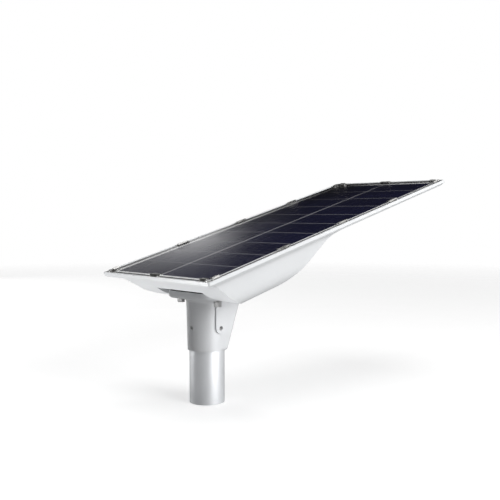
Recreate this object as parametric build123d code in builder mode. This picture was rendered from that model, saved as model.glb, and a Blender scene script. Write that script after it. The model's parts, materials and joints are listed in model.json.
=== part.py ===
from build123d import *
import os
from math import cos, pi, radians, sin

# Solar street lamp head on the top section of its pole.
# Row frame: origin on the pole axis at the lower end of the pole section, +Z up,
# +X towards the raised far end of the lamp. Pieces of the head are drawn flat, with
# +X along the panel, Z = 0 on the glass and the first solar cells starting at X = 0.
# head_place then tilts them and sets them over the pole.

# ---- driving dimensions, millimetres ----
panel_tilt = 15.0
cell_start = (-131.0, 0.0, 302.0)

cell_length = 158.75
cell_height = 79.4
cell_rows = 10
cell_columns = 2
column_gap = 5.0
row_gap = 4.9

laminate_margin = 13.7
glass_thickness = 3.2
cell_thickness = 0.4
ribbon_thickness = 0.2
encapsulant_thickness = 1.0
backsheet_thickness = 0.4

rim_margin = 26.2
rim_width = 3.0
ledge_depth = 6.5
tray_depth = 13.0
tray_floor = 2.5
tray_chamfer = 6.0
tray_corner = 4.0
wall = 3.0
cavity_half_width = 165.0

hull_depth = 98.3
hull_rear = -10.0
hull_front = 420.0
hull_spare = 40.0

pole_radius = 40.5
pole_wall = 4.0
spigot_radius = 40.0
sleeve_bottom = 121.5
pole_top = 225.5

bore_radius = 41.0
bore_top = 226.0
sleeve_radius_low = 44.5
sleeve_radius_high = 47.2
plate_under = 239.0
plate_top = 256.0
plate_rear = -65.0
plate_front = 75.0
plate_half_width = 77.0
recess_ceiling = 262.0
recess_gap = 2.5
ceiling_thickness = 4.0
backing_thickness = 6.0
backing_size = (112.0, 150.0)
backing_hole = 22.0

wedge_foot = 25.0
wedge_head = 64.0
web_thickness = 6.0
wedge_reach = 90.0
wedge_floor = 14.0
wedge_foot_rounding = 8.0
plate_rounding = 9.0
boss_radius = 15.0
boss_face = 48.8

bolt_radius = 5.0
bolt_places = [(-24.0, 64.0), (-24.0, -64.0), (62.0, 24.0), (62.0, -24.0)]
grub_height = 174.0

clip_length = 34.0
clip_sheet = 1.5
screw_shank = 1.6
screw_hole = 1.7
clip_foot_middle = 5.4
frame_top = -1.3
frame_inner = 2.4
gasket_below_glass = 0.5

battery_cell_radius = 16.2
battery_cell_length = 70.5
battery_rows = 4
battery_columns = 4
cradle_top = -48.5
cradle_sheet = 2.0
post_radius = 6.0
cradle_screw_radius = 2.5
cradle_hole = 14.0
post_places = [(95.0, 95.0), (95.0, -95.0), (251.0, 95.0), (251.0, -95.0)]

led_centre = 690.0
led_pitch = 22.0
led_rows = 6
led_columns = 4
sink_length = 200.0
sink_width = 240.0
sink_base = 5.0
fin_pitch = 7.0
fin_count = 34
fin_thickness = 2.0
fin_depth = 11.0
chip_size = 5.0
chip_height = 0.8
board_thickness = 1.6

button_x = 233.0
button_face = -93.0
vent_y = 48.0
switch_pad = 14.0
vent_pad = 12.0
pad_height = 14.0
switch_radius = 6.0
button_radius = 4.5
button_travel = 2.5
vent_radius = 4.0
grommet_radius = 5.0

cable_radius = 2.2

# ---- sizes that follow from them ----
field_width = cell_columns * cell_length + (cell_columns - 1) * column_gap
field_length = cell_rows * cell_height + (cell_rows - 1) * row_gap
glass_width = field_width + 2 * laminate_margin
glass_length = field_length + 2 * laminate_margin
tray_width = field_width + 2 * rim_margin
tray_length = field_length + 2 * rim_margin
mid = field_length / 2
laminate_under = -glass_thickness - encapsulant_thickness - backsheet_thickness

tilt = radians(panel_tilt)
head_plane = Plane(origin=cell_start, x_dir=(cos(tilt), 0, sin(tilt)), z_dir=(-sin(tilt), 0, cos(tilt)))
head_place = head_plane.location
upright = Plane(head_place.inverse())

base = (Align.CENTER, Align.CENTER, Align.MIN)
top = (Align.CENTER, Align.CENTER, Align.MAX)

os.makedirs("parts", exist_ok=True)


def save(builder, name, place=None):
    """Label a finished piece, set it in the row frame and write its STEP file."""
    piece = builder.part if place is None else builder.part.moved(place)
    piece.label = name
    export_step(piece, f"parts/{name}.step")


def plate_outline(grow=0.0):
    """Shield-shaped outline of the adapter's mounting plate, with rounded corners."""
    with BuildSketch() as outline:
        Polygon(
            (plate_rear, plate_half_width),
            (plate_rear, -plate_half_width),
            (5, -plate_half_width),
            (plate_front, -50),
            (plate_front, 50),
            (5, plate_half_width),
            align=None,
        )
        by_x = outline.vertices().group_by(Axis.X)
        fillet(by_x[0], 29)
        fillet(by_x[-1], 8)
        if grow:
            offset(amount=grow)
    return outline.sketch


# ================= pole section and adapter =================

with BuildPart() as pole_section:
    Cylinder(pole_radius, sleeve_bottom - 0.5, align=base)
    Cylinder(spigot_radius, pole_top, align=base)
    Cylinder(pole_radius - pole_wall, pole_top, align=base, mode=Mode.SUBTRACT)
save(pole_section, "pole_section")

# the adapter's mounting plate, with a rounded lower edge
with BuildPart() as plate:
    with BuildSketch(Plane.XY.offset(plate_under)):
        add(plate_outline())
    extrude(amount=plate_top - plate_under)
    fillet(plate.faces().sort_by(Axis.Z)[0].edges(), plate_rounding)

with BuildPart() as adapter:
    # wedge in front of the sleeve: drafted side walls cut by a sloping front
    with BuildSketch(Plane.XY.offset(sleeve_bottom)):
        Rectangle(wedge_reach, 2 * sleeve_radius_low, align=(Align.MIN, Align.CENTER))
    with BuildSketch(Plane.XY.offset(plate_under)):
        Rectangle(wedge_reach, 2 * sleeve_radius_high, align=(Align.MIN, Align.CENTER))
    loft()
    with BuildSketch(Plane.XZ) as wedge_side:
        Polygon(
            (0, sleeve_bottom),
            (wedge_foot, sleeve_bottom),
            (wedge_head, plate_under),
            (0, plate_under),
            align=None,
        )
        foot_corner = wedge_side.vertices().filter_by_position(Axis.X, wedge_foot - 1, wedge_foot + 1)
        fillet(foot_corner, wedge_foot_rounding)
    extrude(amount=sleeve_radius_high + 10, both=True, mode=Mode.INTERSECT)
    sloping = adapter.edges().filter_by(lambda e: e.length > 60 and e.center().X > 30)
    fillet(sloping.filter_by(lambda e: abs(e.tangent_at(0.5).Z) > 0.7), 5)
    # hollow between the two side webs, open at the front
    with BuildSketch(Plane.XY.offset(sleeve_bottom + wedge_floor)):
        Rectangle(wedge_reach + 20, 2 * (sleeve_radius_low - web_thickness), align=(Align.MIN, Align.CENTER))
    extrude(amount=plate_under - sleeve_bottom - wedge_floor, mode=Mode.SUBTRACT)
    add(plate.part)
    # sleeve flaring into the plate
    with BuildSketch(Plane.XZ):
        with BuildLine():
            Polyline(
                (0, plate_under + 1),
                (0, sleeve_bottom),
                (sleeve_radius_low, sleeve_bottom),
                (sleeve_radius_high, plate_under - 9),
            )
            flare = RadiusArc((sleeve_radius_high, plate_under - 9), (sleeve_radius_high + 9, plate_under), 9)
            Polyline(flare @ 1, (sleeve_radius_high + 9, plate_under + 1), (0, plate_under + 1))
        make_face()
    revolve(axis=Axis.Z)
    # flat-faced boss for a grub screw on each side
    with BuildSketch(Plane.XZ) as boss_side:
        with Locations((0.6, grub_height + 2)):
            Circle(boss_radius)
        with Locations((0.6, grub_height + 2)):
            Rectangle(2 * boss_radius, plate_under - grub_height, align=(Align.CENTER, Align.MIN))
    extrude(amount=boss_face, both=True)
    # bore for the pole, drain chamfer and the grub screw holes
    Cylinder(bore_radius, bore_top, align=base, mode=Mode.SUBTRACT)
    with BuildSketch(Plane.YZ):
        with Locations((0, grub_height)):
            Circle(bolt_radius + 0.05)
    extrude(amount=-60, mode=Mode.SUBTRACT)
    with BuildSketch(Plane.XZ):
        with Locations((0, grub_height)):
            Circle(bolt_radius + 0.05)
    extrude(amount=60, both=True, mode=Mode.SUBTRACT)
    with BuildSketch(Plane.XY.offset(plate_under - 12)):
        with Locations(*bolt_places):
            Circle(bolt_radius + 0.5)
    extrude(amount=50, mode=Mode.SUBTRACT)
save(adapter, "adapter")

with BuildPart() as grub_screws:
    for direction, outer in (((-1, 0, 0), 44.6), ((0, -1, 0), 47.6), ((0, 1, 0), 47.6)):
        axis_plane = Plane(origin=(0, 0, grub_height), z_dir=direction)
        with BuildSketch(axis_plane.offset(spigot_radius + 0.5)):
            Circle(bolt_radius - 0.02)
        extrude(amount=outer - spigot_radius - 0.5)
        with BuildSketch(axis_plane.offset(outer)):
            RegularPolygon(2.5, 6, major_radius=False)
        extrude(amount=-3, mode=Mode.SUBTRACT)
save(grub_screws, "grub_screws")

# ================= bolted joint between adapter and housing =================

washer_thickness = 2.0
spring_washer_thickness = 2.6
head_height = 8.5
head_under = plate_under - washer_thickness - spring_washer_thickness
backing_bottom = recess_ceiling + ceiling_thickness

with BuildPart() as mounting_bolts:
    with BuildSketch(Plane.XY.offset(head_under - head_height)):
        with Locations(*bolt_places):
            RegularPolygon(8.0, 6, major_radius=False)
    extrude(amount=head_height)
    chamfer(mounting_bolts.faces().group_by(Axis.Z)[0].edges(), 0.8)
    with BuildSketch(Plane.XY.offset(head_under)):
        with Locations(*bolt_places):
            Circle(bolt_radius)
    extrude(amount=backing_bottom + backing_thickness + 1 - head_under)
save(mounting_bolts, "mounting_bolts")

with BuildPart() as spring_washers:
    with BuildSketch(Plane.XY.offset(head_under)):
        with Locations(*bolt_places):
            Circle(8.6)
            Circle(bolt_radius + 0.15, mode=Mode.SUBTRACT)
            with Locations((-7, 0)):
                Rectangle(6, 1.0, rotation=15, mode=Mode.SUBTRACT)
    extrude(amount=spring_washer_thickness)
save(spring_washers, "spring_washers")

with BuildPart() as flat_washers:
    with BuildSketch(Plane.XY.offset(plate_under - washer_thickness)):
        with Locations(*bolt_places):
            Circle(9.8)
            Circle(bolt_radius + 0.25, mode=Mode.SUBTRACT)
    extrude(amount=washer_thickness)
save(flat_washers, "flat_washers")

with BuildPart() as mount_gasket:
    with BuildSketch(Plane.XY.offset(plate_top)):
        add(plate_outline(-5))
        with Locations(*bolt_places):
            Circle(bolt_radius + 0.6, mode=Mode.SUBTRACT)
    extrude(amount=recess_ceiling - plate_top)
save(mount_gasket, "mount_gasket")

with BuildPart() as backing_plate:
    with BuildSketch(Plane.XY.offset(backing_bottom)):
        RectangleRounded(*backing_size, 8)
        with Locations(*bolt_places):
            Circle(bolt_radius + 0.05, mode=Mode.SUBTRACT)
        with Locations((18, 0)):
            Circle(backing_hole, mode=Mode.SUBTRACT)
    extrude(amount=backing_thickness)
save(backing_plate, "backing_plate")

# ================= housing: tray and belly in one shell =================


def inward(point, normal, inset):
    """The point moved by inset along a normal that points into the belly."""
    return (point[0] + normal[0] * inset, point[1] + normal[1] * inset)


def hull(ceiling, inset):
    """Solid belly: its cross-section run along X, cut by its outline seen from the side."""
    side_normal = (-0.943, 0.334)
    flange = inward((181, -tray_depth), (-1, 1), inset)
    shoulder = inward((165.5, -37), side_normal, inset)
    flank = inward((157, -61), side_normal, inset)
    keel = inward((104.2, -hull_depth), (0, 1), inset)
    rear_top = inward((hull_rear, -tray_depth), (1, 1), inset)
    rear_upper = inward((30, -44), (0.72, 0.69), inset)
    rear_lower = inward((44, -58.5), (0.72, 0.69), inset)
    rear_knee = inward((65, -75.3), (0.61, 0.79), inset)
    rear_round = inward((93, -91), (0.37, 0.93), inset)
    rear_keel = inward((122, -hull_depth), (0, 1), inset)
    front_keel = inward((150, -hull_depth), (0, 1), inset)
    front_knee = inward((245, -85), (-0.33, 0.94), inset)
    front_rise = inward((340, -36), (-0.5, 0.87), inset)
    front_top = inward((hull_front, -tray_depth), (0, 1), inset)
    with BuildPart() as body:
        with BuildSketch(Plane.YZ.offset(hull_rear - hull_spare)):
            with BuildLine():
                Polyline((0, keel[1]), (0, ceiling), (flange[0], ceiling), flange)
                Spline(flange, shoulder, tangents=((-0.9, -0.45), (-0.342, -0.94)))
                Line(shoulder, flank)
                TangentArc(flank, keel, tangent=(-0.334, -0.943))
                Line(keel, (0, keel[1]))
            make_face()
            mirror(about=Plane.YZ)
        extrude(amount=hull_front - hull_rear + 2 * hull_spare)
        with BuildSketch(Plane.XZ):
            with BuildLine():
                Polyline((front_top[0], ceiling), (rear_top[0], ceiling), rear_top)
                Spline(rear_top, rear_upper, tangents=((0.9, -0.45), (0.69, -0.72)))
                Line(rear_upper, rear_lower)
                Spline(rear_lower, rear_knee, rear_round, rear_keel, tangents=((0.69, -0.72), (1, 0)))
                Line(rear_keel, front_keel)
                Spline(front_keel, front_knee, front_rise, front_top, tangents=((1, 0), (1, 0)))
                Line(front_top, (front_top[0], ceiling))
            make_face()
        extrude(amount=tray_width, both=True, mode=Mode.INTERSECT)
    return body.part


def recess(grow, ceiling):
    """Upright pocket for the adapter's plate, open below and to the rear."""
    with BuildPart() as pocket:
        with BuildSketch(upright.offset(180)):
            add(plate_outline(recess_gap + grow))
            Rectangle(200, 2 * (plate_half_width + recess_gap + grow), align=(Align.MAX, Align.CENTER))
        extrude(amount=ceiling - 180)
    return pocket.part


cavity_start = -4.0
below_all = 120.0
pad_top = -78.0
hang = (Align.MIN, Align.CENTER, Align.MAX)

with BuildPart() as cavity:
    add(hull(-ledge_depth, wall))
    with Locations((cavity_start, 0, -ledge_depth)):
        Box(field_length, 2 * cavity_half_width, below_all, align=hang, mode=Mode.INTERSECT)
    with Locations((cavity_start, 0, -ledge_depth)):
        Box(
            field_length - 2 * cavity_start,
            2 * cavity_half_width,
            tray_depth - tray_floor - ledge_depth,
            align=hang,
        )
    add(recess(wall, backing_bottom), mode=Mode.SUBTRACT)
    for x, y in post_places:
        with Locations((x, y, cradle_top - cradle_sheet)):
            Cylinder(post_radius, below_all, align=top, mode=Mode.SUBTRACT)
    for y, radius in ((0, switch_pad), (vent_y, vent_pad)):
        with Locations((button_x, y, pad_top)):
            Cylinder(radius, below_all, align=top, mode=Mode.SUBTRACT)

with BuildPart() as housing:
    with BuildSketch(Plane.XY):
        with Locations((mid, 0)):
            RectangleRounded(tray_length, tray_width, tray_corner)
    extrude(amount=tray_chamfer - tray_depth)
    for depth, shrink in ((tray_depth - tray_chamfer, 0), (tray_depth, 2 * tray_chamfer)):
        with BuildSketch(Plane.XY.offset(-depth)):
            with Locations((mid, 0)):
                RectangleRounded(tray_length - shrink, tray_width - shrink, tray_corner)
    loft()
    add(hull(-tray_depth + wall, 0))
    with Locations((mid, 0, 0)):
        Box(
            tray_length - 2 * rim_width,
            tray_width - 2 * rim_width,
            ledge_depth,
            align=top,
            mode=Mode.SUBTRACT,
        )
    for y, radius in ((0, switch_pad), (vent_y, vent_pad)):
        with Locations((button_x, y, button_face)):
            Cylinder(radius, pad_height, align=base)
    add(cavity.part, mode=Mode.SUBTRACT)
    add(recess(0, recess_ceiling), mode=Mode.SUBTRACT)
    with BuildSketch(upright.offset(recess_ceiling - 2)):
        with Locations(*bolt_places):
            Circle(bolt_radius + 0.5)
    extrude(amount=ceiling_thickness + 4, mode=Mode.SUBTRACT)
    for x, y in post_places:
        with Locations((x, y, cradle_top)):
            Cylinder(cradle_screw_radius + 0.05, 15, align=top, mode=Mode.SUBTRACT)
    for y, radius in ((0, switch_radius), (vent_y, vent_radius)):
        with Locations((button_x, y, button_face - 2)):
            Cylinder(radius + 0.1, 30, align=base, mode=Mode.SUBTRACT)
    with Locations((led_centre, 0, -tray_depth - 1)):
        Cylinder(grommet_radius, 6, align=base, mode=Mode.SUBTRACT)
save(housing, "housing", head_place)

# ================= solar panel =================

centre = (mid, 0)
seat_width = 2 * cavity_half_width + 4
seat_length = field_length + 12


def ring(z, height, outer, inner, radius=2.0):
    """Rectangular ring round the panel: outer and inner are (length, width)."""
    with BuildPart() as piece:
        with BuildSketch(Plane.XY.offset(z)):
            with Locations(centre):
                RectangleRounded(outer[0], outer[1], radius + 1)
                RectangleRounded(inner[0], inner[1], radius, mode=Mode.SUBTRACT)
        extrude(amount=height)
    return piece


gasket_fit = 0.1
gasket_outer = 2 * (frame_inner - 1.0)
gasket_upstand = ring(
    -ledge_depth,
    ledge_depth - gasket_below_glass,
    (glass_length + gasket_outer, glass_width + gasket_outer),
    (glass_length + 2 * gasket_fit, glass_width + 2 * gasket_fit),
    gasket_fit,
)
panel_gasket = ring(
    -ledge_depth,
    ledge_depth + laminate_under,
    (glass_length + gasket_outer, glass_width + gasket_outer),
    (seat_length, seat_width),
)
with panel_gasket:
    add(gasket_upstand.part)
save(panel_gasket, "panel_gasket", head_place)

with BuildPart() as pv_glass:
    with Locations((mid, 0, 0)):
        Box(glass_length, glass_width, glass_thickness, align=top)
    chamfer(pv_glass.faces().sort_by(Axis.Z)[-1].edges(), 0.6)
save(pv_glass, "pv_glass", head_place)

ribbon_offsets = [-60, -30, 0, 30, 60]

with BuildPart() as pv_cells:
    with BuildSketch(Plane.XY.offset(-glass_thickness - cell_thickness)):
        with Locations(centre):
            with GridLocations(cell_height + row_gap, cell_length + column_gap, cell_rows, cell_columns):
                RectangleRounded(cell_height, cell_length, 1.2)
    extrude(amount=cell_thickness)
save(pv_cells, "pv_cells", head_place)

with BuildPart() as cell_ribbons:
    with Locations((mid, 0, -glass_thickness - cell_thickness)):
        for column in (-1, 1):
            for offset_y in ribbon_offsets:
                y = column * (cell_length + column_gap) / 2 + offset_y
                with Locations((0, y, 0)):
                    Box(field_length - 8, 1.6, ribbon_thickness, align=top)
save(cell_ribbons, "cell_ribbons", head_place)

with BuildPart() as encapsulant:
    with Locations((mid, 0, -glass_thickness)):
        Box(glass_length - 2, glass_width - 2, encapsulant_thickness, align=top)
    add(pv_cells.part, mode=Mode.SUBTRACT)
    add(cell_ribbons.part, mode=Mode.SUBTRACT)
save(encapsulant, "encapsulant", head_place)

with BuildPart() as backsheet:
    with Locations((mid, 0, laminate_under)):
        Box(glass_length, glass_width, backsheet_thickness, align=base)
save(backsheet, "backsheet", head_place)

box_x = 325.0

with BuildPart() as junction_box:
    with Locations((box_x, 0, laminate_under)):
        Box(46, 90, 13, align=top)
    fillet(junction_box.edges().filter_by(Axis.Z), 5)
    fillet(junction_box.faces().sort_by(Axis.Z)[0].edges(), 2)
save(junction_box, "junction_box", head_place)

# ---- spring clips that hold the laminate down on the frame ----

clip_along = (glass_width / 2 + clip_foot_middle, glass_length / 2 + clip_foot_middle)
quarter = field_length / 4
sides = (-1, 1)
edge_clip_places = [
    (mid + step * quarter, side * clip_along[0], 90 * side)
    for step in (-1, 0, 1)
    for side in sides
]
edge_clip_places += [(mid + side * clip_along[1], 0, 90 - 90 * side) for side in (-1, 1)]
corner_clip_places = [
    (mid + sx * clip_along[1], sy * clip_along[0], turn)
    for sx, sy, turn in ((1, 1, 0), (-1, 1, 90), (-1, -1, 180), (1, -1, 270))
]


def turned(place, dx, dy):
    """Panel point at dx, dy in the turned frame of a clip's place."""
    x, y, turn = place
    angle = radians(turn)
    return (x + dx * cos(angle) - dy * sin(angle), y + dx * sin(angle) + dy * cos(angle))


screw_line = 0.5
screw_from_middle = 12.0
screw_places = [turned(place, screw_line, screw_from_middle) for place in edge_clip_places]
screw_places += [turned(place, screw_line, -9) for place in corner_clip_places]
screw_places += [turned(place, -9, screw_line) for place in corner_clip_places]
screw_depth = 6.4

with BuildPart() as screw_holes:
    with BuildSketch(Plane.XY.offset(-screw_depth)):
        with Locations(*screw_places):
            Circle(screw_hole)
    extrude(amount=screw_depth + 3)

panel_frame = ring(
    -ledge_depth,
    frame_top + ledge_depth,
    (tray_length - 2 * rim_width - 0.6, tray_width - 2 * rim_width - 0.6),
    (glass_length + 2 * frame_inner, glass_width + 2 * frame_inner),
)
with panel_frame:
    add(screw_holes.part, mode=Mode.SUBTRACT)
save(panel_frame, "panel_frame", head_place)


def clip_profile():
    """Bent strip seen end on: foot on the frame, riser and lip over the glass edge."""
    Polyline(
        (3.6, frame_top),
        (3.6, frame_top + clip_sheet),
        (-2.4, frame_top + clip_sheet),
        (-3.6, 2.4 + clip_sheet),
        (-5.4, 2.4 + clip_sheet),
        (-9.6, clip_sheet + 0.2),
        (-12.2, clip_sheet + 0.9),
        (-12.2, 0.9),
        (-9.6, 0.1),
        (-5.9, 2.4),
        (-4.7, 2.4),
        (-3.5, frame_top),
        (3.6, frame_top),
    )


def clip(length):
    """One straight clip, lip towards -X, centred along Y."""
    with BuildPart() as piece:
        with BuildSketch(Plane.XZ.offset(-length / 2)):
            with BuildLine():
                clip_profile()
            make_face()
        extrude(amount=length)
        fillet(piece.edges().filter_by(Axis.Z, tolerance=60).filter_by(lambda e: e.center().X < -11), 0.4)
    return piece.part


def placed(shape, x, y, turn):
    """The shape turned about Z and moved to a place on the panel."""
    return Location((x, y, 0), (0, 0, turn)) * shape


edge_clip = clip(clip_length)
with BuildPart() as edge_clips:
    for x, y, turn in edge_clip_places:
        add(placed(edge_clip, x, y, turn))
    add(screw_holes.part, mode=Mode.SUBTRACT)
save(edge_clips, "edge_clips", head_place)

arm_start = 13.5
arm_length = 18.0
arm = clip(arm_length)

with BuildPart() as corner_clip:
    arm_centre = -arm_start - arm_length / 2
    add(placed(arm, 0, arm_centre, 0))
    add(placed(arm, arm_centre, 0, 90))
    for turn in (0, 1):
        length = arm_start + 4.1
        size = (7.1, length) if turn == 0 else (length, 7.1)
        with Locations((3.6, 3.6, frame_top)):
            Box(*size, clip_sheet, align=(Align.MAX, Align.MAX, Align.MIN))
    fillet(corner_clip.edges().filter_by(Axis.Z).sort_by(Axis.X)[-1], 2.5)

with BuildPart() as corner_clips:
    for x, y, turn in corner_clip_places:
        add(placed(corner_clip.part, x, y, turn))
    add(screw_holes.part, mode=Mode.SUBTRACT)
save(corner_clips, "corner_clips", head_place)

screw_head = 1.9
foot_top = frame_top + clip_sheet

with BuildPart() as clip_screw:
    with BuildSketch(Plane.XY.offset(foot_top)):
        Circle(2.6)
    extrude(amount=screw_head)
    fillet(clip_screw.faces().sort_by(Axis.Z)[-1].edges(), 0.8)
    with BuildSketch(Plane.XY.offset(foot_top + screw_head)):
        Rectangle(3.0, 0.7)
        Rectangle(0.7, 3.0)
    extrude(amount=-1.0, mode=Mode.SUBTRACT)
    with Locations((0, 0, foot_top)):
        Cylinder(screw_shank, screw_depth + foot_top - 0.1, align=top)

with BuildPart() as clip_screws:
    for x, y in screw_places:
        add(placed(clip_screw.part, x, y, 0))
save(clip_screws, "clip_screws", head_place)

# ================= battery and charge controller =================

cell_pitch = 2 * battery_cell_radius + 0.8
pack_length = battery_rows * cell_pitch + 1
pack_width = battery_columns * (battery_cell_length + 1) + 1
case_wall = 2.0
case_x = 104.0
case_height = 2 * battery_cell_radius + 2 * case_wall + 1.6
case_middle = case_x + case_wall + pack_length / 2
case_length = pack_length + 2 * case_wall
case_width = pack_width + 2 * case_wall

with BuildPart() as battery_case:
    with Locations((case_middle, 0, cradle_top)):
        Box(case_length, case_width, case_height - case_wall, align=base)
    fillet(battery_case.edges().filter_by(Axis.Z), 3)
    with Locations((case_middle, 0, cradle_top + case_wall)):
        Box(pack_length, pack_width, case_height, align=base, mode=Mode.SUBTRACT)
save(battery_case, "battery_case", head_place)

with BuildPart() as battery_lid:
    with Locations((case_middle, 0, cradle_top + case_height)):
        Box(case_length, case_width, case_wall, align=top)
    fillet(battery_lid.edges().filter_by(Axis.Z), 3)
save(battery_lid, "battery_lid", head_place)

with BuildPart() as battery_cells:
    with Locations((case_middle, 0, cradle_top + case_wall + battery_cell_radius + 0.4)):
        with GridLocations(cell_pitch, battery_cell_length + 1, battery_rows, battery_columns):
            Cylinder(battery_cell_radius, battery_cell_length - 1, rotation=(90, 0, 0))
save(battery_cells, "battery_cells", head_place)

cradle_start = 87.0
cradle_end = 300.0

with BuildPart() as battery_cradle:
    with Locations(((cradle_start + cradle_end) / 2, 0, cradle_top)):
        Box(cradle_end - cradle_start, 2 * 110, cradle_sheet, align=top)
    fillet(battery_cradle.edges().filter_by(Axis.Z), 8)
    for x, y in post_places:
        with Locations((x, y, cradle_top)):
            Hole(2.7)
    with Locations((case_middle, 0, cradle_top)):
        with GridLocations(60, 90, 2, 2):
            Hole(cradle_hole)
save(battery_cradle, "battery_cradle", head_place)

with BuildPart() as cradle_screws:
    for x, y in post_places:
        with Locations((x, y, cradle_top)):
            Cylinder(4.4, 3, align=base)
            Cylinder(cradle_screw_radius, 14, align=top)
    with BuildSketch(Plane.XY.offset(cradle_top + 3)):
        for x, y in post_places:
            with Locations((x, y)):
                RegularPolygon(1.5, 6, major_radius=False)
    extrude(amount=-1.8, mode=Mode.SUBTRACT)
save(cradle_screws, "cradle_screws", head_place)

strap_width = 14.0
strap_sheet = 1.2

with BuildPart() as battery_straps:
    with Locations((case_middle, 0, cradle_top)):
        with GridLocations(0, 150, 1, 2):
            Box(case_length + 2 * strap_sheet, strap_width, case_height + strap_sheet, align=base)
    with Locations((case_middle, 0, cradle_top)):
        Box(case_length, case_width, case_height, align=base, mode=Mode.SUBTRACT)
save(battery_straps, "battery_straps", head_place)

controller_x = 280.0
controller_length = 38.0
controller_width = 130.0
controller_height = 24.0

with BuildPart() as controller_case:
    with Locations((controller_x, 0, cradle_top)):
        Box(controller_length, controller_width, controller_height, align=base)
    fillet(controller_case.edges().filter_by(Axis.Z), 3)
    with Locations((controller_x, 0, cradle_top + 2)):
        Box(controller_length - 4, controller_width - 4, controller_height, align=base, mode=Mode.SUBTRACT)
save(controller_case, "controller_case", head_place)

with BuildPart() as controller_board:
    with Locations((controller_x, 0, cradle_top + 6)):
        Box(controller_length - 5, controller_width - 5, 1.6, align=base)
    for y, size in ((-45, 12), (-20, 8), (5, 10), (34, 12)):
        with Locations((controller_x, y, cradle_top + 7.6)):
            Box(size, size, 8, align=base)
save(controller_board, "controller_board", head_place)

with BuildPart() as controller_cover:
    with Locations((controller_x, 0, cradle_top + controller_height)):
        Box(controller_length, controller_width, 2, align=base)
    fillet(controller_cover.edges().filter_by(Axis.Z), 3)
save(controller_cover, "controller_cover", head_place)

# ================= lamp module under the far end =================

tray_under = -tray_depth
board_length = led_rows * led_pitch + 8
board_width = led_columns * led_pitch + 8
lens_margin = 7.0
frame_border = 12.0
lens_length = board_length + 2 * lens_margin
lens_width = board_width + 2 * lens_margin
bezel_length = lens_length + 2 * frame_border
bezel_width = lens_width + 2 * frame_border
board_top = tray_under - sink_base
board_face = board_top - board_thickness
lens_top = board_face - 1.4
lens_thickness = 2.4


def led_box(length, width, z, height, mode=Mode.ADD):
    """Box hanging down from z, centred on the lamp module."""
    with Locations((led_centre, 0, z)):
        Box(length, width, height, align=top, mode=mode)


with BuildPart() as heat_sink:
    led_box(sink_length, sink_width, tray_under, sink_base)
    fillet(heat_sink.edges().filter_by(Axis.Z), 6)
    with Locations((led_centre, 0, board_top)):
        with GridLocations(0, fin_pitch, 1, fin_count):
            Box(sink_length - 16, fin_thickness, fin_depth, align=top)
    led_box(bezel_length + 2, bezel_width + 2, board_top, 20, mode=Mode.SUBTRACT)
    with Locations((led_centre, 0, tray_under)):
        Cylinder(grommet_radius, 10, align=top, mode=Mode.SUBTRACT)
save(heat_sink, "heat_sink", head_place)

with BuildPart() as led_board:
    led_box(board_length, board_width, board_top, board_thickness)
save(led_board, "led_board", head_place)

with BuildPart() as led_chips:
    with Locations((led_centre, 0, board_face)):
        with GridLocations(led_pitch, led_pitch, led_rows, led_columns):
            Box(chip_size, chip_size, chip_height, align=top)
save(led_chips, "led_chips", head_place)

with BuildPart() as lens_gasket:
    led_box(lens_length, lens_width, board_top, board_top - lens_top)
    led_box(lens_length - 6, lens_width - 6, board_top, board_top - lens_top, mode=Mode.SUBTRACT)
save(lens_gasket, "lens_gasket", head_place)

with BuildPart() as lens_plate:
    led_box(lens_length, lens_width, lens_top, lens_thickness)
    with Locations((led_centre, 0, lens_top - lens_thickness + 5)):
        with GridLocations(led_pitch, led_pitch, led_rows, led_columns):
            Sphere(9)
    led_box(lens_length, lens_width, lens_top, 20, mode=Mode.INTERSECT)
save(lens_plate, "lens_plate", head_place)

bezel_top = board_top
bezel_under = lens_top - lens_thickness

bezel_face = bezel_under - 1.6
bezel_screw_line = (lens_width + frame_border) / 2

with BuildPart() as bezel_holes:
    with BuildSketch(Plane.XY.offset(bezel_face - 1)):
        with Locations((led_centre, 0)):
            with GridLocations(lens_length + frame_border, bezel_screw_line, 2, 3):
                Circle(screw_hole)
            with GridLocations(lens_length / 2, 2 * bezel_screw_line, 2, 2):
                Circle(screw_hole)
    extrude(amount=bezel_top - bezel_face + 1)

with BuildPart() as lens_frame:
    led_box(bezel_length, bezel_width, bezel_top, bezel_top - bezel_face)
    fillet(lens_frame.edges().filter_by(Axis.Z), 5)
    chamfer(lens_frame.faces().sort_by(Axis.Z)[0].edges(), 1.2)
    led_box(lens_length + 0.4, lens_width + 0.4, bezel_top, bezel_top - bezel_under, mode=Mode.SUBTRACT)
    led_box(lens_length - 8, lens_width - 8, bezel_top, 30, mode=Mode.SUBTRACT)
    add(bezel_holes.part, mode=Mode.SUBTRACT)
save(lens_frame, "lens_frame", head_place)

with BuildPart() as lens_screws:
    for x_step, y_step, x_count, y_count in (
        (lens_length + frame_border, bezel_screw_line, 2, 3),
        (lens_length / 2, 2 * bezel_screw_line, 2, 2),
    ):
        with Locations((led_centre, 0, bezel_face)):
            with GridLocations(x_step, y_step, x_count, y_count):
                Cylinder(3.2, 1.8, align=top)
                Cylinder(screw_shank, bezel_top - bezel_face - 0.2, align=base)
    fillet(lens_screws.faces().group_by(Axis.Z)[0].edges(), 0.8)
save(lens_screws, "lens_screws", head_place)

# ================= power switch and breather on the belly =================

switch_lip = 2.0
switch_nut_base = button_face + 15.2

with BuildPart() as switch_body:
    with Locations((button_x, 0, button_face)):
        Cylinder(switch_radius, 24, align=base)
        Cylinder(9.5, switch_lip, align=top)
    fillet(switch_body.faces().sort_by(Axis.Z)[0].edges(), 0.8)
    with Locations((button_x, 0, button_face - switch_lip)):
        Cylinder(button_radius + 0.08, 14, align=base, mode=Mode.SUBTRACT)
save(switch_body, "switch_body", head_place)

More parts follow.
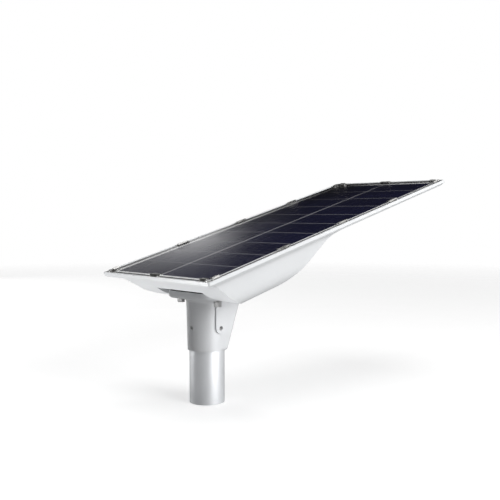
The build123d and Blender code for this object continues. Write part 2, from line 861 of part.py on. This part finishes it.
with BuildPart() as power_button:
    with Locations((button_x, 0, button_face - switch_lip - button_travel - 0.8)):
        Cylinder(button_radius, 10.5, align=base)
    fillet(power_button.faces().sort_by(Axis.Z)[0].edges(), 1.0)
save(power_button, "power_button", head_place)

with BuildPart() as switch_nut:
    with BuildSketch(Plane.XY.offset(switch_nut_base)):
        with Locations((button_x, 0)):
            RegularPolygon(8.5, 6, major_radius=False)
            Circle(switch_radius + 0.05, mode=Mode.SUBTRACT)
    extrude(amount=4)
save(switch_nut, "switch_nut", head_place)

with BuildPart() as breather_plug:
    with BuildSketch(Plane.XY.offset(button_face)):
        with Locations((button_x, vent_y)):
            RegularPolygon(7, 6, major_radius=False)
    extrude(amount=-4)
    with Locations((button_x, vent_y, button_face - 4)):
        Cylinder(5.6, 2.4, align=top)
    fillet(breather_plug.faces().sort_by(Axis.Z)[0].edges(), 1.2)
    with Locations((button_x, vent_y, button_face)):
        Cylinder(vent_radius, 17, align=base)
save(breather_plug, "breather_plug", head_place)

# ================= wiring inside the housing =================


def cable(points, radii):
    """Round cable along straight runs joined by tangent arcs."""
    with BuildPart() as wire:
        with BuildLine() as route:
            FilletPolyline(*points, radius=radii)
        with BuildSketch(Plane(origin=route.line @ 0, z_dir=route.line % 0)):
            Circle(cable_radius)
        sweep(path=route.line)
    length = sum(edge.length for edge in route.edges())
    section = pi * cable_radius**2
    print("cable length", round(length, 1), "volume over section", round(wire.part.volume / section, 1))
    return wire


controller_front = controller_x + controller_length / 2
controller_back = controller_x - controller_length / 2

lamp_cable = cable(
    [
        (controller_front, 53, -36),
        (316, 53, -36),
        (346, 53, -19),
        (374, 50, -8.2),
        (420, 36, -7.4),
        (550, 0, -7.4),
        (led_centre, 0, -7.4),
        (led_centre, 0, board_top + 0.3),
    ],
    [12, 30, 60, 60, 400, 3.5],
)
save(lamp_cable, "lamp_cable", head_place)

panel_cable = cable(
    [
        (box_x - 23, -30, -11.5),
        (controller_x, -30, -11.5),
        (controller_x, -30, cradle_top + controller_height + 2),
    ],
    [7],
)
save(panel_cable, "panel_cable", head_place)

battery_end = case_x + case_length
battery_cable = cable(
    [
        (battery_end, 42, -34),
        (battery_end + 7, 42, -34),
        (controller_back - 7, 46, -34),
        (controller_back, 46, -34),
    ],
    [4, 4],
)
save(battery_cable, "battery_cable", head_place)

with BuildPart() as cable_grommet:
    with Locations((led_centre, 0, -tray_depth)):
        Cylinder(grommet_radius - 0.05, tray_floor, align=base)
        Cylinder(cable_radius + 0.8, tray_floor, align=base, mode=Mode.SUBTRACT)
save(cable_grommet, "cable_grommet", head_place)
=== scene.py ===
import json
import math

import bmesh
import bpy
from mathutils import Matrix, Vector


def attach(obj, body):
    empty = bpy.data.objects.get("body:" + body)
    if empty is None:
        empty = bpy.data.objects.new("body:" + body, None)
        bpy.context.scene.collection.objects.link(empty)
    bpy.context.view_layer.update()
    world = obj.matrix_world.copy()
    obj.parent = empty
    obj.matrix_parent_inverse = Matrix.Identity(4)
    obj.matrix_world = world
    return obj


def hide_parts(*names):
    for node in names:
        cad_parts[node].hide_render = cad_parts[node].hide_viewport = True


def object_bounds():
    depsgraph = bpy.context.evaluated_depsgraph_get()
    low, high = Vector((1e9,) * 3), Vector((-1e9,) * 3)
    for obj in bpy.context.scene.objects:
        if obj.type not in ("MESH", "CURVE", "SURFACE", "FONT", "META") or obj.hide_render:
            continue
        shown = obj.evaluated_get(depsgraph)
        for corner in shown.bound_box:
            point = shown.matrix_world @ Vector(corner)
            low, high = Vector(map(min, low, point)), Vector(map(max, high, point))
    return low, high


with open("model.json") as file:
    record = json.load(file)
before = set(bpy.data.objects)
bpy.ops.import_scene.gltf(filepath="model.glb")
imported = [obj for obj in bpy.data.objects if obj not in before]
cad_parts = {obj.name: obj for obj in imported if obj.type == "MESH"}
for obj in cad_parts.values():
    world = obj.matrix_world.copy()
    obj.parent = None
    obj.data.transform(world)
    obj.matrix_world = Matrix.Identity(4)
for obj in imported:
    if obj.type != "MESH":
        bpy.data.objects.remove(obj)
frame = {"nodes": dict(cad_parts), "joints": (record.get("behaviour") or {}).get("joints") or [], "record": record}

# Looks of the solar street lamp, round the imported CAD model, in metres.
# The head's own axes are used for everything on the tilted panel: along it, across it
# and out of the glass. They come from the record's button joint, which presses
# square to the panel.

cad_low, cad_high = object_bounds()

nodes = frame["nodes"]
button_joint = next(j for j in frame["joints"] if j["name"] == "button_press")
out_of_panel = Vector(button_joint["axis"]).normalized()
across_panel = Vector((0, 1, 0))
along_panel = across_panel.cross(out_of_panel)
head_axes = Matrix((along_panel, across_panel, out_of_panel)).transposed()
row_to_head = head_axes.inverted()
panel_tilt = math.atan2(along_panel.z, along_panel.x)


def head_box(node):
    """Lowest and highest corner of a CAD node in the head's axes."""
    points = [row_to_head @ v.co for v in nodes[node].data.vertices]
    low = Vector(min(p[i] for p in points) for i in range(3))
    high = Vector(max(p[i] for p in points) for i in range(3))
    return low, high


# ================= materials =================


class Surface:
    """A Principled material whose colour, roughness and relief vary by nodes."""

    def __init__(self, name, colour, roughness, metallic=0.0):
        self.material = bpy.data.materials.new(name)
        self.material.use_nodes = True
        self.tree = self.material.node_tree
        self.shader = self.tree.nodes["Principled BSDF"]
        self.shader.inputs["Base Color"].default_value = (*colour, 1)
        self.shader.inputs["Roughness"].default_value = roughness
        self.shader.inputs["Metallic"].default_value = metallic
        self.colour = colour
        self.roughness = roughness
        self.relief = None

    def node(self, kind, **settings):
        made = self.tree.nodes.new(kind)
        for key, value in settings.items():
            setattr(made, key, value)
        return made

    def link(self, source, target):
        self.tree.links.new(source, target)
        return source

    def set(self, **values):
        """Plain values on the shader's own sockets, such as coat_weight=0.3."""
        for key, value in values.items():
            socket = self.shader.inputs[key.replace("_", " ").title().replace("Ior", "IOR")]
            socket.default_value = value
        return self

    def place(self, stretch=(1, 1, 1), turn=0.0):
        """Object coordinates, turned about Y and then scaled along each axis."""
        where = self.node("ShaderNodeTexCoord").outputs["Object"]
        if turn:
            spin = self.node("ShaderNodeVectorRotate", rotation_type="Y_AXIS")
            self.link(where, spin.inputs["Vector"])
            spin.inputs["Angle"].default_value = turn
            where = spin.outputs["Vector"]
        if stretch != (1, 1, 1):
            mapping = self.node("ShaderNodeMapping")
            self.link(where, mapping.inputs["Vector"])
            mapping.inputs["Scale"].default_value = stretch
            where = mapping.outputs["Vector"]
        return where

    def noise(self, scale, detail=2.0, stretch=(1, 1, 1), turn=0.0):
        texture = self.node("ShaderNodeTexNoise")
        texture.inputs["Scale"].default_value = scale
        texture.inputs["Detail"].default_value = detail
        self.link(self.place(stretch, turn), texture.inputs["Vector"])
        return texture.outputs["Fac"]

    def cells(self, scale, stretch=(1, 1, 1)):
        texture = self.node("ShaderNodeTexVoronoi")
        texture.inputs["Scale"].default_value = scale
        self.link(self.place(stretch), texture.inputs["Vector"])
        return texture.outputs["Distance"]

    def spread(self, value, low, high, start=0.3, end=0.7):
        """value from start to end becomes low to high."""
        ranged = self.node("ShaderNodeMapRange")
        self.link(value, ranged.inputs["Value"])
        ranged.inputs["From Min"].default_value = start
        ranged.inputs["From Max"].default_value = end
        ranged.inputs["To Min"].default_value = low
        ranged.inputs["To Max"].default_value = high
        return ranged.outputs["Result"]

    def maths(self, operation, first, second=0.0):
        made = self.node("ShaderNodeMath", operation=operation)
        for socket, value in zip(made.inputs, (first, second)):
            if isinstance(value, (int, float)):
                socket.default_value = value
            else:
                self.link(value, socket)
        return made.outputs["Value"]

    def mixed(self, share, first, second):
        """Colour between two, each a tuple or a socket."""
        mix = self.node("ShaderNodeMix", data_type="RGBA")
        self.link(share, mix.inputs["Factor"])
        for socket, value in ((mix.inputs[6], first), (mix.inputs[7], second)):
            if isinstance(value, tuple):
                socket.default_value = (*value, 1)
            else:
                self.link(value, socket)
        return mix.outputs[2]

    def vary_colour(self, share, other):
        """The colour shifts towards another one by share."""
        source = self.shader.inputs["Base Color"]
        now = source.links[0].from_socket if source.is_linked else self.colour
        self.link(self.mixed(share, now, other), source)
        return self

    def vary_roughness(self, share, by):
        """The roughness runs from its own value to that value plus by."""
        low, high = self.roughness, self.roughness + by
        self.link(self.spread(share, low, high), self.shader.inputs["Roughness"])
        return self

    def bump(self, height, distance, strength=1.0):
        """Relief of this depth in metres, added to what there is."""
        made = self.node("ShaderNodeBump")
        made.inputs["Distance"].default_value = distance
        made.inputs["Strength"].default_value = strength
        self.link(height, made.inputs["Height"])
        if self.relief:
            self.link(self.relief, made.inputs["Normal"])
        self.relief = made.outputs["Normal"]
        self.link(self.relief, self.shader.inputs["Normal"])
        return self

    def clear_to_lamps(self):
        """Light from the lamps passes straight through, as through a thin clear sheet."""
        path = self.node("ShaderNodeLightPath").outputs["Is Shadow Ray"]
        clear = self.node("ShaderNodeBsdfTransparent")
        mix = self.node("ShaderNodeMixShader")
        self.link(path, mix.inputs["Fac"])
        self.link(self.shader.outputs["BSDF"], mix.inputs[1])
        self.link(clear.outputs["BSDF"], mix.inputs[2])
        output = self.tree.nodes["Material Output"]
        self.link(mix.outputs["Shader"], output.inputs["Surface"])
        return self


def shade(colour, factor):
    return tuple(c * factor for c in colour)


def powder_coat(name, colour, roughness, peel, metallic=0.0):
    """Powder coat: orange peel, faint mottling, and dust that dulls it in patches."""
    coat = Surface(name, colour, roughness, metallic)
    coat.set(coat_weight=0.25, coat_roughness=0.18, specular_ior_level=0.5)
    coat.vary_colour(coat.spread(coat.noise(7, 3), 0.0, 0.5), shade(colour, 0.955))
    coat.vary_colour(coat.spread(coat.noise(900, 2), 0.0, 0.35), shade(colour, 0.93))
    coat.vary_roughness(coat.noise(26, 5), 0.12)
    coat.bump(coat.noise(420, 2), peel)
    coat.bump(coat.noise(1800, 2), peel * 0.25)
    return coat


def cast_coat(name, colour, roughness):
    """Powder coat over a sand casting: coarser peel with the casting's grain under it."""
    coat = powder_coat(name, colour, roughness, peel=0.00006, metallic=0.35)
    coat.bump(coat.noise(150, 4), 0.00016)
    coat.bump(coat.cells(520), 0.00005)
    return coat


def rolled_steel(name, colour, roughness, stretch=(0.05, 1, 1)):
    """Bare stainless strip with its rolling grain and handling smudges."""
    steel = Surface(name, colour, roughness, 1.0)
    grain = steel.noise(1500, 3, stretch, panel_tilt)
    steel.vary_colour(steel.spread(grain, 0.0, 0.6), shade(colour, 0.72))
    steel.vary_roughness(steel.noise(60, 4), 0.16)
    steel.bump(grain, 0.00002)
    return steel


def turned_steel(name, colour, roughness):
    """Fastener steel: fine tool marks and a slightly uneven, passivated tone."""
    steel = Surface(name, colour, roughness, 1.0)
    steel.vary_colour(steel.spread(steel.noise(180, 3), 0.0, 0.7), shade(colour, 0.74))
    steel.vary_roughness(steel.noise(420, 3), 0.2)
    steel.bump(steel.noise(2600, 2, (1, 1, 0.2)), 0.000015)
    return steel


def plated_steel(name, colour):
    """Zinc plate with its spangle."""
    steel = Surface(name, colour, 0.34, 1.0)
    spangle = steel.cells(140)
    steel.vary_colour(steel.spread(spangle, 0.0, 0.8, 0.1, 0.7), shade(colour, 0.8))
    steel.vary_roughness(spangle, 0.14)
    steel.bump(steel.noise(900, 3), 0.00002)
    return steel


def anodised(name, colour):
    """Matt anodised extrusion with faint lengthwise die lines."""
    metal = Surface(name, colour, 0.42, 0.55)
    lines = metal.noise(1100, 2, (0.03, 1, 1), panel_tilt)
    metal.vary_colour(metal.spread(lines, 0.0, 0.4), shade(colour, 0.86))
    metal.vary_roughness(metal.noise(90, 3), 0.1)
    metal.bump(lines, 0.000012)
    return metal


def moulded(name, colour, roughness, grain=0.00003):
    """Moulded plastic with a spark-eroded grain and a few handling marks."""
    plastic = Surface(name, colour, roughness)
    plastic.vary_colour(plastic.spread(plastic.noise(35, 4), 0.0, 0.5), shade(colour, 0.82))
    plastic.vary_roughness(plastic.noise(55, 4), 0.12)
    plastic.bump(plastic.cells(1300), grain)
    return plastic


def rubber(name):
    """Black rubber with a bloom of dust and a soft, uneven face."""
    # This black is also the colour of the thin seal along the glass's edge and of the gasket under the mounting
    # plate. There it is painted shade: dark strips put where the shade in those gaps falls.
    soft = Surface(name, (0.018, 0.018, 0.019), 0.62)
    soft.vary_colour(soft.spread(soft.noise(50, 5), 0.0, 0.6), (0.055, 0.054, 0.052))
    soft.vary_roughness(soft.noise(120, 3), 0.18)
    soft.bump(soft.noise(1500, 3), 0.00004)
    return soft


def clear_sheet(name, tint, roughness, ior, relief):
    """Clear glass or plastic: its face is slightly patterned, and lamps shine through."""
    clear = Surface(name, tint, roughness)
    clear.set(transmission_weight=1.0, ior=ior)
    clear.bump(clear.noise(900, 2), relief)
    return clear.clear_to_lamps()


def clear_pane(name, tint, roughness, ior, relief):
    """Flat clear glass: it mirrors by its Fresnel share and is see-through otherwise."""
    pane = Surface(name, tint, roughness)
    output = pane.tree.nodes["Material Output"]
    pane.tree.nodes.remove(pane.shader)
    pane.shader = pane.node("ShaderNodeBsdfGlossy", distribution="BECKMANN")
    pane.shader.inputs["Roughness"].default_value = roughness
    pane.bump(pane.noise(12, 1), relief)
    clear = pane.node("ShaderNodeBsdfTransparent")
    clear.inputs["Color"].default_value = (*tint, 1)
    fresnel = pane.node("ShaderNodeFresnel")
    fresnel.inputs["IOR"].default_value = ior
    inside = pane.node("ShaderNodeNewGeometry").outputs["Backfacing"]
    outside = pane.maths("SUBTRACT", 1.0, inside)
    share = pane.maths("MULTIPLY", fresnel.outputs["Fac"], outside)
    mix = pane.node("ShaderNodeMixShader")
    pane.link(share, mix.inputs["Fac"])
    pane.link(clear.outputs["BSDF"], mix.inputs[1])
    pane.link(pane.shader.outputs["BSDF"], mix.inputs[2])
    pane.link(mix.outputs["Shader"], output.inputs["Surface"])
    return pane


def silicon(name):
    """Dark blue cells: fine silver fingers across them and a slight tone for each cell."""
    finger_pitch = 0.0016
    finger_share = 0.04
    cell = Surface(name, (0.0060, 0.0064, 0.030), 0.35)
    cell.set(specular_ior_level=0.08)
    tone = cell.node("ShaderNodeAttribute", attribute_name="tone").outputs["Fac"]
    cell.vary_colour(tone, (0.0075, 0.0082, 0.038))
    cell.vary_colour(cell.spread(cell.noise(38, 3), 0.0, 0.5), (0.0050, 0.0052, 0.022))
    along = cell.node("ShaderNodeSeparateXYZ")
    cell.link(cell.place(turn=panel_tilt), along.inputs["Vector"])
    line = cell.maths("PINGPONG", along.outputs["X"], finger_pitch / 2)
    finger = cell.maths("LESS_THAN", line, finger_pitch * finger_share / 2)
    faint = cell.maths("MULTIPLY", finger, 0.5)
    cell.vary_colour(faint, (0.03, 0.032, 0.06))
    cell.vary_roughness(cell.noise(240, 2), 0.08)
    return cell


def laminate(name, colour):
    """Film and backsheet seen through the glass round the cells: faint wrinkles."""
    film = Surface(name, colour, 0.5)
    film.set(specular_ior_level=0.1)
    film.vary_colour(film.spread(film.noise(18, 4), 0.0, 0.6), shade(colour, 0.9))
    film.vary_roughness(film.noise(140, 2), 0.1)
    film.bump(film.noise(260, 3), 0.00003)
    return film


def framed_film(name, border, gaps, middle, field_low, field_high):
    """Light film round the field of cells, dark film between its rows, paler between columns."""
    film = laminate(name, border)
    at = film.node("ShaderNodeSeparateXYZ")
    film.link(film.place(turn=panel_tilt), at.inputs["Vector"])
    within = 1.0
    for axis, low, high in (("X", field_low.x, field_high.x), ("Y", field_low.y, field_high.y)):
        above = film.maths("GREATER_THAN", at.outputs[axis], low)
        below = film.maths("LESS_THAN", at.outputs[axis], high)
        within = film.maths("MULTIPLY", film.maths("MULTIPLY", above, below), within)
    film.vary_colour(within, gaps)
    from_middle = film.maths("ABSOLUTE", at.outputs["Y"])
    between = film.maths("LESS_THAN", from_middle, column_gap / 2)
    film.vary_colour(film.maths("MULTIPLY", between, within), middle)
    return film


def circuit_board(name, colour):
    """Solder mask with the faint relief of its copper tracks."""
    board = Surface(name, colour, 0.34)
    tracks = board.node("ShaderNodeTexBrick")
    tracks.inputs["Scale"].default_value = 90
    board.link(board.place(), tracks.inputs["Vector"])
    board.vary_colour(board.spread(tracks.outputs["Fac"], 0.0, 0.5, 0, 1), shade(colour, 0.72))
    board.vary_roughness(board.noise(300, 2), 0.12)
    board.bump(tracks.outputs["Fac"], 0.00003)
    return board


def phosphor(name):
    """Soft yellow phosphor of the lamp's chips, with its fine grain."""
    glow = Surface(name, (0.88, 0.62, 0.09), 0.4)
    glow.set(subsurface_weight=0.15)
    glow.vary_colour(glow.spread(glow.noise(900, 3), 0.0, 0.7), (0.95, 0.72, 0.20))
    glow.vary_roughness(glow.noise(700, 2), 0.15)
    glow.bump(glow.noise(2200, 2), 0.00002)
    return glow


white = (0.83, 0.845, 0.86)
cast_white = (0.66, 0.67, 0.685)
pole_grey = (0.70, 0.715, 0.735)
stainless = (0.60, 0.595, 0.58)
bolt_grey = (0.56, 0.56, 0.56)
zinc_grey = (0.52, 0.53, 0.54)
frame_grey = (0.50, 0.505, 0.515)
sink_grey = (0.58, 0.585, 0.60)
dark_tin = (0.16, 0.16, 0.19)
pane_tint = (0.985, 0.985, 0.985)
lens_tint = (0.96, 0.975, 0.98)
film_white = (0.72, 0.72, 0.71)
switch_black = (0.022, 0.022, 0.024)
box_black = (0.05, 0.05, 0.055)
jacket_black = (0.02, 0.02, 0.02)
sleeve_blue = (0.02, 0.09, 0.24)
mask_green = (0.015, 0.12, 0.045)
mask_white = (0.76, 0.77, 0.76)
cap_red = (0.42, 0.018, 0.014)
film_border = (0.78, 0.785, 0.79)
row_film = (0.13, 0.132, 0.155)
middle_film = (0.34, 0.34, 0.36)

# the layout of the cells, which the film and the cells share
cell_rows = 10
cell_columns = 2
row_gap = 0.0049
column_gap = 0.005

finishes = {
    "pole_paint": powder_coat("pole_paint", pole_grey, roughness=0.32, peel=0.00003, metallic=0.62),
    "cast_paint": cast_coat("cast_paint", cast_white, roughness=0.38),
    "housing_paint": powder_coat("housing_paint", white, roughness=0.30, peel=0.000025),
    "bezel_paint": powder_coat("bezel_paint", shade(white, 0.96), roughness=0.34, peel=0.00003),
    "stainless": rolled_steel("stainless", stainless, roughness=0.24),
    "bolt_steel": turned_steel("bolt_steel", bolt_grey, roughness=0.25),
    "plate_steel": plated_steel("plate_steel", zinc_grey),
    "anodised": anodised("anodised", frame_grey),
    "sink_aluminium": anodised("sink_aluminium", sink_grey),
    "glass": clear_pane("glass", pane_tint, roughness=0.30, ior=1.40, relief=0.000001),
    "lens": clear_sheet("lens", lens_tint, roughness=0.06, ior=1.49, relief=0.000003),
    "silicon": silicon("silicon"),
    "ribbon": rolled_steel("ribbon", dark_tin, roughness=0.4),
    "encapsulant": framed_film("encapsulant", film_border, row_film, middle_film, *head_box("pv_cells")),
    "backsheet": laminate("backsheet", film_white),
    "rubber": rubber("rubber"),
    "black_plastic": moulded("black_plastic", switch_black, roughness=0.42),
    "battery_box": moulded("battery_box", box_black, roughness=0.45),
    "battery_wrap": moulded("battery_wrap", sleeve_blue, roughness=0.24, grain=0.00001),
    "board_green": circuit_board("board_green", mask_green),
    "board_white": circuit_board("board_white", mask_white),
    "phosphor": phosphor("phosphor"),
    "button_red": moulded("button_red", cap_red, roughness=0.3, grain=0.00001),
    "cable_jacket": moulded("cable_jacket", jacket_black, roughness=0.5),
}

node_slots = {entry["node"]: entry["material_slot"] for entry in frame["record"]["subparts"]}
for node_name, node_object in nodes.items():
    finish = finishes[node_slots[node_name]].material
    for index in range(len(node_object.data.materials)):
        node_object.material_slots[index].material = finish


# ================= detailed pieces =================


def finished(mesh, name, body, slot_name, smooth=True):
    """A bmesh becomes a named piece on a body, with its slot's finish."""
    data = bpy.data.meshes.new(name)
    mesh.to_mesh(data)
    mesh.free()
    piece = bpy.data.objects.new(name, data)
    bpy.context.scene.collection.objects.link(piece)
    data.materials.append(finishes[slot_name].material)
    data.polygons.foreach_set("use_smooth", [smooth] * len(data.polygons))
    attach(piece, body)
    return piece


def add_block(mesh, low, high):
    """A box between two corners in the head's axes, and its faces."""
    size = high - low
    middle = (high + low) / 2
    shape = Matrix.Translation(middle) @ Matrix.Diagonal((*size, 1))
    made = bmesh.ops.create_cube(mesh, size=1, matrix=head_axes.to_4x4() @ shape)
    return made["verts"]


def round_edges(mesh, width, segments=2):
    bmesh.ops.bevel(
        mesh,
        geom=mesh.edges[:],
        offset=width,
        segments=segments,
        profile=0.5,
        affect="EDGES",
    )


def sharpen_by_angle(piece, degrees=30):
    """Smooth shading that keeps real corners crisp."""
    for other in bpy.context.selected_objects:
        other.select_set(False)
    piece.select_set(True)
    bpy.context.view_layer.objects.active = piece
    bpy.ops.object.shade_smooth_by_angle(angle=math.radians(degrees))
    piece.select_set(False)


# ---- the glass sheet, with ground edges, just clear of the cells ----
glass_gap = 0.0002
ground_edge = 0.0006
glass_low, glass_high = head_box("pv_glass")
sheet = bmesh.new()
add_block(sheet, glass_low + Vector((0, 0, glass_gap)), glass_high)
round_edges(sheet, ground_edge, 3)
glass_sheet = finished(sheet, "glass_sheet", "head", "glass")
sharpen_by_angle(glass_sheet)
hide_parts("pv_glass")

# ---- the cells: one plate each, with its own tone ----
cell_corner = 0.0022
cells_low, cells_high = head_box("pv_cells")
cell_length = (cells_high.x - cells_low.x - (cell_rows - 1) * row_gap) / cell_rows
cell_width = (cells_high.y - cells_low.y - (cell_columns - 1) * column_gap) / cell_columns


def add_cell(mesh, x, y):
    """One half cell: a thin plate with cut corners, from its lowest corner."""
    cut = cell_corner
    outline = [
        (x + cut, y),
        (x + cell_length - cut, y),
        (x + cell_length, y + cut),
        (x + cell_length, y + cell_width - cut),
        (x + cell_length - cut, y + cell_width),
        (x + cut, y + cell_width),
        (x, y + cell_width - cut),
        (x, y + cut),
    ]
    lower = [mesh.verts.new(head_axes @ Vector((*p, cells_low.z))) for p in outline]
    upper = [mesh.verts.new(head_axes @ Vector((*p, cells_high.z))) for p in outline]
    made = [mesh.faces.new(upper), mesh.faces.new(lower[::-1])]
    for i in range(len(outline)):
        j = (i + 1) % len(outline)
        made.append(mesh.faces.new((lower[i], lower[j], upper[j], upper[i])))
    return made


plates = bmesh.new()
tone_layer = plates.faces.layers.float.new("tone")
for column in range(cell_columns):
    for row in range(cell_rows):
        start_x = cells_low.x + row * (cell_length + row_gap)
        start_y = cells_low.y + column * (cell_width + column_gap)
        tone = 0.5 + 0.5 * math.sin(2.4 * row + 3.9 * column + 0.7)
        for face in add_cell(plates, start_x, start_y):
            face[tone_layer] = tone
cell_plates = finished(plates, "cell_plates", "head", "silicon", smooth=False)
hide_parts("pv_cells")

# ---- busbars: flat tinned wires on the front of the cells, over the ribbons behind ----
busbar_width = 0.0003
busbar_height = 0.00012
busbars_per_cell = 5
busbar_inset = 0.002
wires = bmesh.new()
for column in range(cell_columns):
    for index in range(busbars_per_cell):
        share = (index + 0.5) / busbars_per_cell
        y = cells_low.y + column * (cell_width + column_gap) + share * cell_width
        low = Vector((cells_low.x + busbar_inset, y - busbar_width / 2, cells_high.z))
        high = Vector((cells_high.x - busbar_inset, y + busbar_width / 2, cells_high.z + busbar_height))
        add_block(wires, low, high)
round_edges(wires, busbar_height * 0.4, 1)
finished(wires, "cell_busbars", "head", "ribbon", smooth=False)

# ================= floor, light and camera =================


def make_floor():
    """A plain pale floor that fades out with distance and isn't seen from below."""
    fade_start, fade_end = 1.2, 5.0
    disc = bmesh.new()
    bmesh.ops.create_circle(disc, cap_ends=True, segments=96, radius=fade_end)
    data = bpy.data.meshes.new("floor")
    disc.to_mesh(data)
    disc.free()
    floor = bpy.data.objects.new("floor", data)
    bpy.context.scene.collection.objects.link(floor)
    floor.location.z = cad_low.z - floor_clearance
    pale = Surface("floor", floor_grey, 0.7)
    pale.vary_colour(pale.spread(pale.noise(3, 3), 0.0, 0.4), shade(floor_grey, 0.96))
    pale.set(emission_color=(1, 1, 1, 1))
    seen = pale.node("ShaderNodeLightPath").outputs["Is Camera Ray"]
    glow = pale.spread(seen, 0.0, floor_glow, 0, 1)
    pale.link(glow, pale.shader.inputs["Emission Strength"])
    distance = pale.node("ShaderNodeVectorMath", operation="LENGTH")
    pale.link(pale.place(), distance.inputs[0])
    gone = pale.spread(distance.outputs["Value"], 0.0, 1.0, fade_start, fade_end)
    below = pale.node("ShaderNodeNewGeometry").outputs["Backfacing"]
    unseen = pale.maths("MAXIMUM", gone, below)
    clear = pale.node("ShaderNodeBsdfTransparent")
    mix = pale.node("ShaderNodeMixShader")
    pale.link(unseen, mix.inputs["Fac"])
    pale.link(pale.shader.outputs["BSDF"], mix.inputs[1])
    pale.link(clear.outputs["BSDF"], mix.inputs[2])
    pale.link(mix.outputs["Shader"], pale.tree.nodes["Material Output"].inputs["Surface"])
    data.materials.append(pale.material)


def make_world():
    """White all round, brighter to the camera than to the lamp, so it stays a plain ground."""
    world = bpy.data.worlds.new("studio")
    world.use_nodes = True
    bpy.context.scene.world = world
    tree = world.node_tree
    background = tree.nodes["Background"]
    background.inputs["Color"].default_value = (1, 1, 1, 1)
    path = tree.nodes.new("ShaderNodeLightPath")
    level = None
    for ray, strength in (("Is Glossy Ray", world_mirrored), ("Is Camera Ray", world_seen)):
        step = tree.nodes.new("ShaderNodeMapRange")
        step.inputs["To Min"].default_value = world_light
        step.inputs["To Max"].default_value = strength
        if level:
            tree.links.new(level, step.inputs["To Min"])
        tree.links.new(path.outputs[ray], step.inputs["Value"])
        level = step.outputs["Result"]
    tree.links.new(level, background.inputs["Strength"])


def add_softbox(name, position, aim, size, power):
    """A square area lamp at a position, facing a point."""
    data = bpy.data.lights.new(name, "AREA")
    data.shape = "RECTANGLE"
    data.size, data.size_y = size
    data.energy = power
    lamp = bpy.data.objects.new(name, data)
    bpy.context.scene.collection.objects.link(lamp)
    lamp.visible_camera = False
    lamp.location = position
    lamp.rotation_euler = (Vector(aim) - Vector(position)).to_track_quat("-Z", "Y").to_euler()
    return lamp


def light_only(lamp, node_names):
    """The lamp lights, and is shadowed by, these CAD nodes alone."""
    lit = bpy.data.collections.new(f"lit_by_{lamp.name}")
    for name in node_names:
        lit.objects.link(nodes[name])
    lamp.light_linking.receiver_collection = lit
    lamp.light_linking.blocker_collection = lit


world_light = 0.10
world_mirrored = 0.012
world_seen = 1.0
floor_grey = (0.50, 0.50, 0.50)
floor_glow = 0.58
floor_clearance = 0.0005
head_middle = (cad_low + cad_high) / 2

make_floor()
make_world()
add_softbox("key", (0.3, -3.2, 1.7), head_middle, (1.8, 1.8), 98)
add_softbox("right", (3.2, -1.8, 1.1), head_middle, (1.4, 2.0), 16)
add_softbox("rim", (0.3, 3.4, 0.9), head_middle, (1.0, 1.7), 36)
add_softbox("top", (0.2, 0.0, 3.6), head_middle, (2.4, 2.4), 66)

# a bank of softboxes on an arc, whose mirror image is the sheen that fades along the glass
sheen_powers = (0.15, 2.7, 1.1, 0.7, 0.5)
sheen_bearing = 49
sheen_step = 8
sheen_distance = 3.9
sheen_height = 1.75
sheen_aim = (0, 0, 0.4)
for index, power in enumerate(sheen_powers):
    bearing = math.radians(sheen_bearing + sheen_step * index)
    position = (sheen_distance * math.cos(bearing), sheen_distance * math.sin(bearing), sheen_height)
    add_softbox(f"panel_sheen_{index}", position, sheen_aim, (0.55, 1.5), power)

# lamps flagged off from all but a few nodes
pole_aim = (0, 0, 0.12)
sleeve_aim = (0, 0, 0.18)
belly_aim = (0, 0, 0.28)
bolt_nodes = ["mounting_bolts", "spring_washers", "flat_washers"]
clip_nodes = ["edge_clips", "corner_clips", "clip_screws"]

belly_light = add_softbox("belly", (-1.2, 1.2, -0.9), belly_aim, (0.8, 0.8), 30)
light_only(belly_light, ["housing"])
pole_light = add_softbox("pole_strip", (0.5, -2.1, 0.25), pole_aim, (2.0, 0.6), 28)
light_only(pole_light, ["pole_section"])
sleeve_light = add_softbox("sleeve_strip", (0.45, -2.1, 0.25), sleeve_aim, (2.0, 0.6), 13)
light_only(sleeve_light, ["adapter"])
edge_light = add_softbox("pole_edge", (-1.2, 2.0, 0.3), pole_aim, (0.6, 0.8), 17)
light_only(edge_light, ["pole_section"])
glint = add_softbox("steel_glint", (-2.4, -0.5, 0.8), head_middle, (0.8, 0.8), 16)
light_only(glint, bolt_nodes + clip_nodes)

camera_place = Vector((-1.07252, -1.24840, 0.42780))
camera_heading = 45.896
camera_pitch = -2.775
camera_lens = 51.90

camera_data = bpy.data.cameras.new("camera")
camera_data.lens = camera_lens
camera_data.sensor_width = 36
camera_data.clip_start = 0.05
camera_data.clip_end = 100
camera = bpy.data.objects.new("camera", camera_data)
bpy.context.scene.collection.objects.link(camera)
camera.location = camera_place
camera.rotation_euler = (math.radians(90 + camera_pitch), 0, math.radians(camera_heading - 90))
bpy.context.scene.camera = camera
bpy.context.scene.view_settings.view_transform = "Standard"
